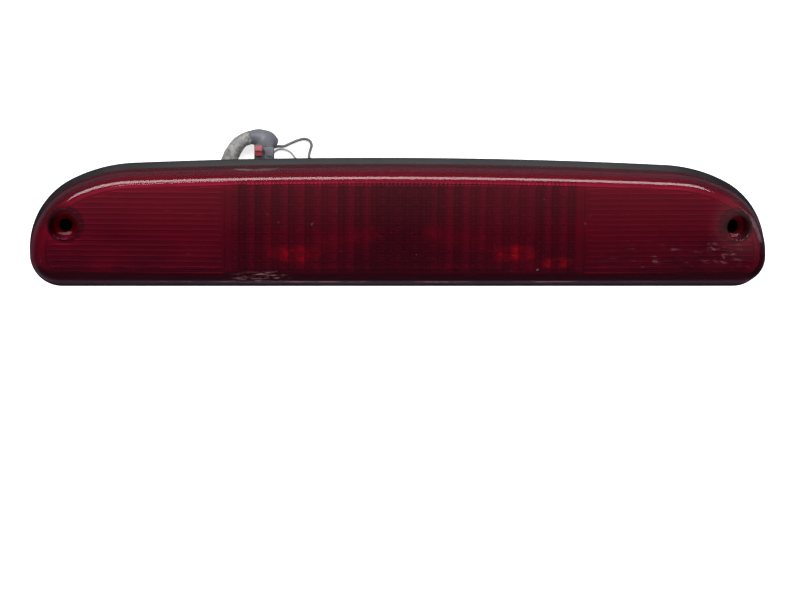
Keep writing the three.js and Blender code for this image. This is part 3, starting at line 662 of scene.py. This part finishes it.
def make_housing():
    rim = [(2.4, FLANGE_BACK), (0.35, FLANGE_BACK), (0.1, 32.06), (0, 32.2), (0, 32.7), (0.15, 33.0),
           (0.5, 33.2), (2.6, 34.16), (3.0, 34.34), (3.4, FLANGE_FRONT)]
    flange = [loft([at(outline(FLANGE, i), z) for i, z in rim], caps=False)]
    grid = [(x, y) for x in np.arange(-186, 187, 6) for y in np.arange(-30, 31, 6)]
    bores = [circle(s * WELL_X, WELL_Y, BORE, 32) for s in (-1, 1)]
    bores += [circle(s * VENT_X, 0, 1.5, 20) for s in (-1, 1)]
    front = [outline(FLANGE, 3.4), bowl_loop(FLANGE_FRONT, WALL)] + bores
    flange.append(filled(front, grid, lambda x, y: FLANGE_FRONT + 0 * x))
    back = [outline(FLANGE, 2.4), bowl_loop(FLANGE_BACK, 0)] + bores
    flange.append(filled(back, grid, lambda x, y: FLANGE_BACK + 0 * x))
    flange += [loft([at(bore, FLANGE_BACK), at(bore, FLANGE_FRONT)], caps=False) for bore in bores]
    outer = [(FLANGE_BACK, 0), (20, 0), (8, 0), (1.5, 0), (0.6, 0.4), (0.15, 0.9), (0, 1.6)]
    inner = [(2.2, 4.4), (2.35, 3.5), (2.9, 2.7), (3.8, WALL), (12, WALL), (24, WALL), (FLANGE_FRONT, WALL)]
    bowl = [at(bowl_loop(z, i), z) for z, i in outer + inner]
    # The outer and inner walls end in floors of their own instead of a band between them
    points, faces = loft(bowl, caps=False)
    size = len(bowl[0])
    last_outer, first_inner = (len(outer) - 1) * size, len(outer) * size
    between = range(last_outer, first_inner)
    faces = [f for f in faces if not (min(f) in between and max(f) >= first_inner)]
    faces.append(tuple(between))
    faces.append(tuple(range(first_inner, first_inner + size)))
    housing = solid(*merged(*flange, (points, faces)))
    boolean(housing, solid(*solid_box(-RECESS, RECESS, -40, 40, -1, PLATE_BACK)))
    return housing


def plate(loops, z0, z1, grid):
    """Closed flat plate inside the first loop, with the others as holes."""
    parts = [filled(loops, grid, lambda x, y, z=z: z + 0 * x) for z in (z0, z1)]
    parts += [loft([at(loop, z0), at(loop, z1)], caps=False) for loop in loops]
    return merged(*parts)


def turned(profile, steps=56, x=0.0, y=0.0):
    """A profile of (radius, z) turned about an upright axis. A radius of 0 at an end closes it."""
    return loft([at(circle(x, y, max(r, 1e-4), steps), z) for r, z in profile], caps=False)


def socket_hole():
    loop = []
    for i in range(144):
        a = 2 * math.pi * i / 144
        u = a - math.radians(60)
        slot = min(13 / max(abs(math.cos(u)), 1e-9), 4.1 / max(abs(math.sin(u)), 1e-9))
        r = max(10.3, slot if slot < 14 else 0)
        loop.append((r * math.sin(a), r * math.cos(a)))
    return loop


def housing_details():
    """Socket plate, recess walls, screw bosses and stiffening ribs."""
    front = PLATE_BACK + WALL
    half_x, half_y = RECESS + WALL, 20.3
    corners = [(-half_x, -half_y), (-half_x, half_y), (half_x, half_y), (half_x, -half_y)]
    edge = []
    for a, b in zip(corners, corners[1:] + corners[:1]):
        edge += line(a, b, 12)
    grid = [(x, y) for x in range(-22, 23, 4) for y in range(-18, 19, 4)]
    parts = [plate([edge, socket_hole()], PLATE_BACK, front, grid)]
    for s in (-1, 1):
        x0, x1 = sorted((s * (RECESS + 0.02), s * (RECESS + WALL)))
        parts.append(solid_box(x0, x1, -19.4, 19.4, 0.8, PLATE_BACK + 0.5))
        for profile in ([(BORE, 34.2), (6.7, 34.2), (7, 34.5), (7, 37.8), (6.7, 38.1), (3.6, 38.1),
                         (BORE, 37.8), (BORE, 34.2)],
                        [(BORE, 32.2), (5.5, 32.2), (5.5, 29.1), (5.2, 28.8), (3.6, 28.8), (BORE, 29.1),
                         (BORE, 32.2)]):
            parts.append(turned(profile, 48, s * WELL_X, WELL_Y))
        for k in range(3):
            x = s * (30 + 12 * k)
            parts.append(solid_box(x - 0.7, x + 0.7, -19, 19, 2, 5))
    return [solid(*part) for part in parts]


def joined(name, pieces, material, angle=35, bevel=0.0):
    """One object from several tools, with softened edges where bevel (mm) is given."""
    for piece in pieces:
        piece.data.materials.clear()
        piece.data.materials.append(material)
    with bpy.context.temp_override(active_object=pieces[0], selected_editable_objects=pieces,
                                   selected_objects=pieces, object=pieces[0]):
        if len(pieces) > 1:
            bpy.ops.object.join()
    piece = pieces[0]
    piece.name = name
    if bevel:
        soften(piece, bevel)
    smooth(piece.data, angle)
    return piece


def soften(piece, width, segments=2, angle=32):
    change = piece.modifiers.new("soft", "BEVEL")
    change.width, change.segments, change.limit_method = width * MM, segments, "ANGLE"
    change.angle_limit, change.harden_normals = math.radians(angle), False
    change.use_clamp_overlap = True
    with bpy.context.temp_override(object=piece, active_object=piece, selected_objects=[piece]):
        bpy.ops.object.modifier_apply(modifier="soft")


shell = joined("housing_shell", [make_housing()] + housing_details(), BLACK, 40)
place(shell, "lamp", "housing_black", "housing")


def make_gasket():
    sheet = solid(*loft([at(outline(FLANGE, i), z) for i, z in
                         ((1.0, 28), (0.6, 28.35), (0.6, 31.4), (0.9, 31.7))]))
    opening = solid(*loft([at(outline(FLANGE, 7.0), z) for z in (27, 33)]))
    middle = solid(*solid_box(-156, 156, -40, 40, 26, 34))
    boolean(opening, middle, "INTERSECT")
    boolean(sheet, opening)
    for s in (-1, 1):
        hole = [(0, 28.5), (6.2, 28.5), (6.2, 33), (0, 33)]
        boolean(sheet, solid(*turned(hole, 48, s * WELL_X, WELL_Y)))
    return sheet


place(joined("foam_gasket", [make_gasket()], FOAM, 40), "lamp", "foam_black", "mounting_gasket")
for s, side in ((-1, "left"), (1, "right")):
    profile = [(0, 30.1), (4.6, 30.1), (5, 30.4), (5, 31.4), (4.8, 31.7), (0, 31.7)]
    disc = solid(*turned(profile, 40, s * VENT_X))
    place(joined("vent_foam_" + side, [disc], FOAM), "lamp", "foam_black", "vent_filter_" + side)


# ---- Reflector ----

def reflector_z(x, y):
    x, y = np.asarray(x, float), np.asarray(y, float)
    along = np.abs(x) / 60
    spine = np.where(along < 1, 19.5 + 16.4 * along**2, 35.9 + 0.2 * (np.abs(x) - 60))
    across = np.minimum(np.abs(y) / 22, 1)
    return spine + np.maximum(35.9 - spine, 2.5) * across**2


def make_reflector():
    half_x, half_y = 93, 24
    corners = [(-half_x, half_y), (half_x, half_y), (half_x, -half_y), (-half_x, -half_y)]
    edge = []
    for a, b, steps in zip(corners, corners[1:] + corners[:1], (62, 16, 62, 16)):
        edge += line(a, b, steps)
    loops = [edge, circle(0, 0, 13, 56)]
    grid = [(x, y) for x in np.arange(-91.5, 92, 1.5) for y in np.arange(-22.5, 23, 1.5)]
    parts = [filled(loops, grid, lambda x, y, d=d: reflector_z(x, y) - d) for d in (0, 1.2)]
    for loop in loops:
        rings = [[(x, y, float(reflector_z(x, y)) - d) for x, y in loop] for d in (0, 1.2)]
        parts.append(loft(rings, caps=False))
    return solid(*merged(*parts))


place(joined("mirror_trough", [make_reflector()], MIRROR, 40), "lamp", "metallised", "reflector")


# ---- Bulb socket and bulb ----

def make_socket():
    body = solid(*turned([
        (0, 7.5), (9.1, 7.5), (9.5, 7.9), (9.5, 11.3), (9.7, 11.5), (13.6, 11.5), (14, 11.8), (14, 13.0),
        (13.7, 13.3), (9.7, 13.3), (9.7, 16.9), (9.1, 17.3), (9, 17.6), (9, 23.3), (8.6, 23.7),
        (0, 23.7)], 72))
    grip = solid(*solid_box(-13, 13, -2.6, 2.6, 7.5, 12))
    soften(grip, 0.6)
    lugs = solid(*solid_box(-12.4, 12.4, -3.5, 3.5, 17.2, 19.2))
    soften(lugs, 0.35)
    boolean(body, solid(*solid_box(-4.1, 4.1, -5.2, 5.2, 15.3, 25)))
    for s in (-1, 1):
        x = s * CONTACT_X
        boolean(body, solid(*solid_box(x - 0.55, x + 0.55, -1.5, 1.5, 8.5, 16.3)))
        boolean(body, solid(*turned([(0, 6.5), (1.8, 6.5), (1.8, 10.3), (0, 10.3)], 32, x)))
    return [body, grip, lugs]


place(joined("twist_socket", make_socket(), SOCKET, 38), "socket", "socket_plastic", "bulb_socket")
seal = solid(*turned([(10.6, 13.85), (10.75, 13.65), (11, 13.6), (13, 13.6), (13.3, 13.7), (13.4, 14),
                      (13.3, 14.3), (13, 14.4), (11, 14.4), (10.75, 14.35), (10.6, 13.85)]))
place(joined("socket_gasket", [seal], SILICONE), "socket", "silicone_brown", "socket_seal")
for s, side in ((-1, "left"), (1, "right")):
    plug = solid(*turned([(0, 7.5), (1.3, 7.5), (1.5, 7.7), (1.5, 8.3), (1.3, 8.5), (1.5, 8.8), (1.5, 9.3),
                          (1.3, 9.5), (1.5, 9.8), (1.5, 10.1), (1.3, 10.3), (0, 10.3)], 32, s * CONTACT_X))
    place(joined("wire_grommet_" + side, [plug], SILICONE), "socket", "silicone_brown", "wire_seal_" + side)


def refined(node, name, material, body, slot, bevel=0.25, angle=32):
    """A copy of a CAD node's mesh with its flat faces joined and its edges rounded."""
    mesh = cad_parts[node].data.copy()
    mesh.materials.clear()
    for key in [a.name for a in mesh.attributes if a.name in ("custom_normal", "sharp_edge", "sharp_face")]:
        mesh.attributes.remove(mesh.attributes[key])
    bm = bmesh.new()
    bm.from_mesh(mesh)
    bmesh.ops.remove_doubles(bm, verts=bm.verts, dist=1e-6)
    bmesh.ops.dissolve_limit(bm, angle_limit=math.radians(1), verts=bm.verts, edges=bm.edges)
    bm.to_mesh(mesh)
    bm.free()
    piece = link(name, mesh, material)
    soften(piece, bevel, 2, angle)
    smooth(piece.data, 40)
    return place(piece, body, slot, node)


for side in ("left", "right"):
    refined("socket_contact_" + side, "contact_blade_" + side, BRASS, "socket", "contact_brass", 0.08)


# Glass, filament and leads

BULB = Nodes("bulb_glass")
GLASS = BULB.end(BULB.add("ShaderNodeMixShader", {
    0: BULB.add("ShaderNodeFresnel", {"IOR": 1.5}).outputs[0],
    1: BULB.add("ShaderNodeBsdfTransparent", {"Color": (0.93, 0.94, 0.95, 1)}).outputs[0],
    2: BULB.add("ShaderNodeBsdfGlossy", {"Color": (1, 1, 1, 1), "Roughness": BULB.span(
        BULB.noise(0.2, 3), 0.3, 0.7, 0.03, 0.09)}).outputs[0]}))


def dome(radius, tip, steps=14):
    """Profile of a round end."""
    angles = [math.pi / 2 * i / steps for i in range(steps + 1)]
    return [(radius * math.cos(a), tip - radius * (1 - math.sin(a))) for a in angles]


bulb_outer = [(0, 23.9), (3.6, 23.9), (4.4, 24.5), (5.2, 25.8), (6.4, 27.6), (7.2, 29), (7.5, 30.4),
              *dome(7.5, 50.3)]
bulb_inner = [(0, 25.3), (3.4, 25.4), (5.4, 27.4), (6.5, 29.1), (6.75, 30.6), *dome(6.75, 49.5)]
glass = [solid(*turned(bulb_outer, 64)), solid(*turned(bulb_inner, 64))]
glass[1].data.flip_normals()
wedge = solid(*solid_box(-2.1, 2.1, -4.75, 4.75, 16.5, 24.6))
soften(wedge, 0.5, 3)
place(joined("wedge_bulb", glass + [wedge], GLASS, 45), "bulb", "bulb_glass", "bulb_glass")


def swept(points, radii, steps=16, cap=True, ripple=None):
    """A round tube along points in millimetres, with a radius at each of them."""
    path = [Vector(p) for p in points]
    radii = [radii] * len(path) if isinstance(radii, (int, float)) else radii
    rings, side = [], None
    for i, here in enumerate(path):
        ahead = (path[min(i + 1, len(path) - 1)] - path[max(i - 1, 0)]).normalized()
        side = side or ahead.orthogonal().normalized()
        side = (side - ahead * side.dot(ahead)).normalized()
        up = ahead.cross(side)
        ring = []
        for k in range(steps):
            a = 2 * math.pi * k / steps
            r = radii[i] + (ripple(i, a) if ripple else 0)
            ring.append(tuple(here + side * math.cos(a) * r + up * math.sin(a) * r))
        rings.append(ring)
    return loft(rings, caps=cap)


for s, side in ((-1, "left"), (1, "right")):
    y = s * 2.2
    lead = [(0, y * 0.9, 37.4), (0, y, 36.4), (0, y, 30), (0, y, 22), (0, y, 16.6), (s * 0.4, y, 16),
            (s * 1.6, y, 15.9), (s * 2.4, y, 16.1), (s * 2.7, y, 16.8), (s * 2.7, y, 21.4)]
    piece = solid(*swept(lead, 0.28, 12))
    place(joined("bulb_wire_" + side, [piece], STEEL), "bulb", "bulb_wire", "bulb_lead_" + side)
coil = [(0.3 * math.cos(i * 0.9), -1.5 + 3.0 * i / 84, 37 + 0.3 * math.sin(i * 0.9)) for i in range(85)]
place(joined("filament_coil", [solid(*swept(coil, 0.07, 6))], STEEL), "bulb", "bulb_wire", "bulb_filament")


# ---- Pigtail, along the routes of the CAD source ----

# Heights of the two wires' and the trunk's middles where they lie on the ground
SUPPORT = 0.2
FEED_SIZE, GROUND_SIZE, TRUNK_SIZE = 1.5, 1.1, 7.2
f, g, t = (size / 2 + SUPPORT for size in (FEED_SIZE, GROUND_SIZE, TRUNK_SIZE))
FEED = [
    (CONTACT_X, 0, 7.2), (CONTACT_X, 0.3, 5.2), (3.4, 2.2, 2.2), (3, 6, f), (1, 14, f), (-4, 22, f),
    (-13, 27.6, f), (-26, 29, f), (-38, 28.2, f), (-44.6, 29.2, f), (-47.2, 32.6, f), (-46.6, 36, f),
    (-45.9, 38.8, f), (-46.8, 41, f), (-49.4, 42.1, f), (-52.6, 41.5, f), (-56.6, 39.9, f), (-60.4, 38.2, f),
    (-64, 38, f), (-67.4, 36.8, f), (-69.5, 33.4, f), (-70, 26, f), (-70.2, 15, f), (-72.6, 6.4, f),
    (-80, 2, f), (-93, 0.6, f), (-108, -0.6, f), (-122, -3, f), (-132.6, -3, f), (-137, 0.6, 1.4),
    (-134.6, 4.4, 2.6), (-130.4, 5.2, t)]
GROUND = [
    (-CONTACT_X, 0, 7.2), (-CONTACT_X, 0.3, 5.2), (-3.8, 2.2, 2.2), (-4.6, 6, g), (-7.4, 14, g), (-13, 21, g),
    (-22, 25.2, g), (-34, 25.4, g), (-45, 25.6, g), (-51, 28.4, g), (-54.4, 32, g), (-57.2, 35.2, g),
    (-60.4, 36.6, g), (-63.8, 36.2, g), (-66.4, 34, g), (-67.4, 31, g), (-67.6, 25, g), (-67.8, 13, g),
    (-70.4, 3.4, g), (-78, -1.2, g), (-92, -2.6, g), (-108, -3.8, g), (-122, -6.4, g), (-134.4, -6.6, g),
    (-141, -1.6, 1.2), (-139.4, 5, 2.4), (-134.4, 7.8, 3.2), (-130.6, 7.4, t + 0.6)]
TRUNK = [
    (-130, 6.2, t), (-121, 7, t), (-110, 9.6, t), (-101, 14.4, t), (-95, 20.4, t), (-91, 27, t),
    (-87.2, 35, t + 0.6), (-85.1, 38.3, t + 1.2), (-82.2, 41, t + 1.8), (-77.5, 43.1, t + 2.6)]


def smooth_path(points, per_span=8):
    """Points along the centripetal Catmull-Rom curve that the CAD source uses."""
    known = [Vector(p) for p in points]
    known = [known[0] * 2 - known[1], *known, known[-1] * 2 - known[-2]]
    path = []
    for p0, p1, p2, p3 in zip(known, known[1:], known[2:], known[3:]):
        d0, d1, d2 = [(b - a).length ** 0.5 for a, b in ((p0, p1), (p1, p2), (p2, p3))]
        m1 = ((p1 - p0) / d0 - (p2 - p0) / (d0 + d1) + (p2 - p1) / d1) * d1
        m2 = ((p2 - p1) / d1 - (p3 - p1) / (d1 + d2) + (p3 - p2) / d2) * d1
        for k in range(per_span):
            u = k / per_span
            path.append(p1 * (2 * u**3 - 3 * u**2 + 1) + m1 * (u**3 - 2 * u**2 + u)
                        + p2 * (3 * u**2 - 2 * u**3) + m2 * (u**3 - u**2))
    return path + [known[-2]]


DARK_WIRE = moulded("dark_insulation", (0.085, 0.085, 0.092), (0.16, 0.155, 0.16), 0.45, 0.25, 1.2, 0.03,
                    wear=(0.3, 0.29, 0.28))
LIGHT_WIRE = moulded("light_insulation", (0.3, 0.29, 0.285), (0.42, 0.41, 0.4), 0.5, 0.25, 1.2, 0.03)
BOOT = moulded("boot_rubber", (0.086, 0.091, 0.112), (0.12, 0.124, 0.135), 0.5, 0.12, 0.8, 0.06,
               wear=(0.26, 0.25, 0.26))
# Partly the plastic's own colour, partly painted shade: kept darker than the latch, which wears the boot's
# lighter rubber, so the gap beside the latch reads dark
GREY = moulded("connector_plastic", (0.035, 0.036, 0.042), (0.055, 0.056, 0.064), 0.45, 0.1, 1.0, 0.03,
               wear=(0.2, 0.2, 0.21))
LOCK = moulded("lock_plastic", (0.24, 0.035, 0.045), (0.33, 0.07, 0.08), 0.45, 0.25, 1.0, 0.03)
SEAL = moulded("seal_rubber", (0.04, 0.11, 0.26), (0.06, 0.15, 0.32), 0.55, 0.2, 1.0, 0.03)


def tape():
    """Cloth tape with a fine weave, mottled by dirt and light rubs."""
    n = Nodes("harness_tape")
    weave_u = n.math("SINE", n.math("MULTIPLY", n.axes()[0], 9.0))
    weave_v = n.math("SINE", n.math("MULTIPLY", n.math("ADD", n.axes()[1], n.axes()[2]), 9.0))
    weave = n.math("MULTIPLY", weave_u, weave_v)
    blot = n.span(n.noise(0.35, 5, 0.7), 0.35, 0.66)
    tone = n.mix(blot, (0.11, 0.108, 0.104), (0.37, 0.365, 0.355))
    dirt = n.span(n.noise(0.16, 3), 0.52, 0.66)
    tone = n.mix(n.math("MULTIPLY", dirt, 0.6), tone, (0.06, 0.058, 0.056))
    height = n.math("ADD", n.math("MULTIPLY", weave, 0.2), n.noise(0.6, 4))
    return n.end(n.add("ShaderNodeBsdfPrincipled", {
        "Base Color": tone, "Roughness": n.span(blot, 0, 1, 0.85, 0.7), "Normal": n.bump(height, 0.25)}))


TAPE = tape()


def wire(name, node, route, diameter, material, x):
    """A wire along its route, from the socket at x. It bends between the socket and the lamp."""
    path = smooth_path(route, 7)
    piece = joined(name, [solid(*swept(path, diameter / 2, 14))], material)
    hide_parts(node)
    # Down and to the left, so that all of the wire beyond its first bend stays with the lamp
    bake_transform(piece, "socket", "lamp", start=(x * MM, 0, 0.0072), end=((x - 6) * MM, 0, 0.0017))


wire("feed_wire", "wire_feed", FEED, FEED_SIZE, DARK_WIRE, CONTACT_X)
wire("ground_wire", "wire_ground", GROUND, GROUND_SIZE, LIGHT_WIRE, -CONTACT_X)


def make_trunk(path):
    """The taped tube, wrinkled, thicker where it bunches up, and flat where it lies on the ground."""
    run = [0.0]
    for a, b in zip(path, path[1:]):
        run.append(run[-1] + (b - a).length)

    def ripple(i, angle):
        # Each turn of tape overlaps the last, and the tape wrinkles a little
        turn = (run[i] / 7.5 + angle / (2 * math.pi)) % 1
        wrinkle = noise.noise(Vector((run[i] * 0.5, math.cos(angle) * 2, math.sin(angle) * 2)))
        bunched = 0.55 * max(0.0, min(1.0, (41 - path[i].y) / 6))
        return 0.16 * (1 - turn) - 0.12 + 0.16 * wrinkle + bunched

    points, faces = swept(path, TRUNK_SIZE / 2, 36, ripple=ripple)
    return [(x, y, max(z, 0.05)) for x, y, z in points], faces


trunk_path = smooth_path(TRUNK, 14)
trunk = joined("taped_trunk", [solid(*make_trunk(trunk_path))], TAPE, 50)
place(trunk, "lamp", "harness_tape", "harness_trunk")


# Elbow from the trunk down into the connector

def make_boot():
    """The elbow widens from the trunk to its mouth, and a spout tapers off it towards the wires."""
    end, before = Vector(TRUNK[-1]), Vector(TRUNK[-2])
    middle_z, flatten = 6.9, 0.9
    bend, mouth = Vector((-70.7, 44.1, 7.3)), Vector((-70.6, 38.6, middle_z))
    root = end - (end - before).normalized() * 1.4
    path, radii = [], []
    for i in range(25):
        u = i / 24
        path.append(root * (1 - u) ** 2 + bend * 2 * u * (1 - u) + mouth * u**2)
        radii.append(3.2 + 2.1 * min(1, u * 1.5) ** 0.7)
    bends = [(-71, 41.6, middle_z), (-68.6, 41.6, 6.3), (-66.2, 40.8, 5.2), (-64.2, 40.1, 4.5)]
    spout = smooth_path(bends, 6)
    wide = [5.3 - 3.3 * (i / (len(spout) - 1)) ** 1.3 for i in range(len(spout))]
    parts = []
    for points, faces in (swept(path, radii, 40), swept(spout, wide, 32)):
        parts.append(solid([(x, y, middle_z + (z - middle_z) * flatten) for x, y, z in points], faces))
    return parts


boot = joined("elbow_boot", make_boot(), BOOT, 60)
place(boot, "lamp", "boot_grey", "connector_boot")
# Painted shade: the plug body wears a darker grey than its latch, so that the gap between them reads dark
body = refined("connector_body", "plug_body", GREY, "lamp", "connector_grey", 0.3, 28)
latch = refined("connector_latch", "plug_latch", BOOT, "latch", "connector_grey", 0.15)
lock = refined("connector_lock", "plug_lock", LOCK, "lock", "lock_red", 0.2)
seal = refined("connector_seal", "plug_seal", SEAL, "lamp", "seal_blue", 0.2)
pins = [refined("connector_terminal_" + side, "plug_pin_" + side, BRASS, "lamp", "contact_brass", 0.12)
        for side in ("left", "right")]


# ---- Floor and light ----

PALE = moulded("pale_floor", (0.86, 0.86, 0.86), (0.84, 0.84, 0.84), 0.8, 0.002, 0.1, 0.0,
               Emission_Color=(1, 1, 1, 1), Emission_Strength=0.7)
FLOOR = 4000
corners = [(-FLOOR, -FLOOR, 0), (FLOOR, -FLOOR, 0), (FLOOR, FLOOR, 0), (-FLOOR, FLOOR, 0)]
floor = link("floor", mesh_of(corners, [(0, 1, 2, 3)]), PALE)
floor.location.z = -0.0002
floor.visible_glossy = False

world = bpy.data.worlds.new("room")
world.use_nodes = True
world.node_tree.nodes["Background"].inputs["Color"].default_value = (0.092, 0.062, 0.092, 1)
world.node_tree.nodes["Background"].inputs["Strength"].default_value = 1.0
bpy.context.scene.world = world
bpy.context.scene.view_settings.view_transform = "Standard"


def softbox(name, place_at, size, power, color=(1, 1, 1), reflects=True):
    data = bpy.data.lights.new(name, "AREA")
    data.shape, data.energy, data.color = "RECTANGLE", power, color
    data.size, data.size_y = size
    light = bpy.data.objects.new(name, data)
    bpy.context.scene.collection.objects.link(light)
    light.location = place_at
    light.rotation_euler = (-Vector(place_at)).to_track_quat("-Z", "Y").to_euler()
    light.visible_camera = False
    light.visible_glossy = reflects


softbox("key", (-0.03, 0.8, 0.95), (1.86, 0.6), 25)
softbox("glint", (-0.36, 0.38, 1.2), (0.32, 0.05), 0.35)
softbox("sheen", (1.3, 0.25, 0.6), (0.4, 0.9), 1.8, (0.86, 0.8, 1.0))
softbox("fill", (0.0, -1.0, 1.2), (2.4, 1.0), 24, reflects=False)
softbox("fill_left", (-1.4, 0.0, 1.0), (1.0, 1.6), 9, reflects=False)
softbox("fill_right", (1.4, 0.0, 1.0), (1.0, 1.6), 9, reflects=False)
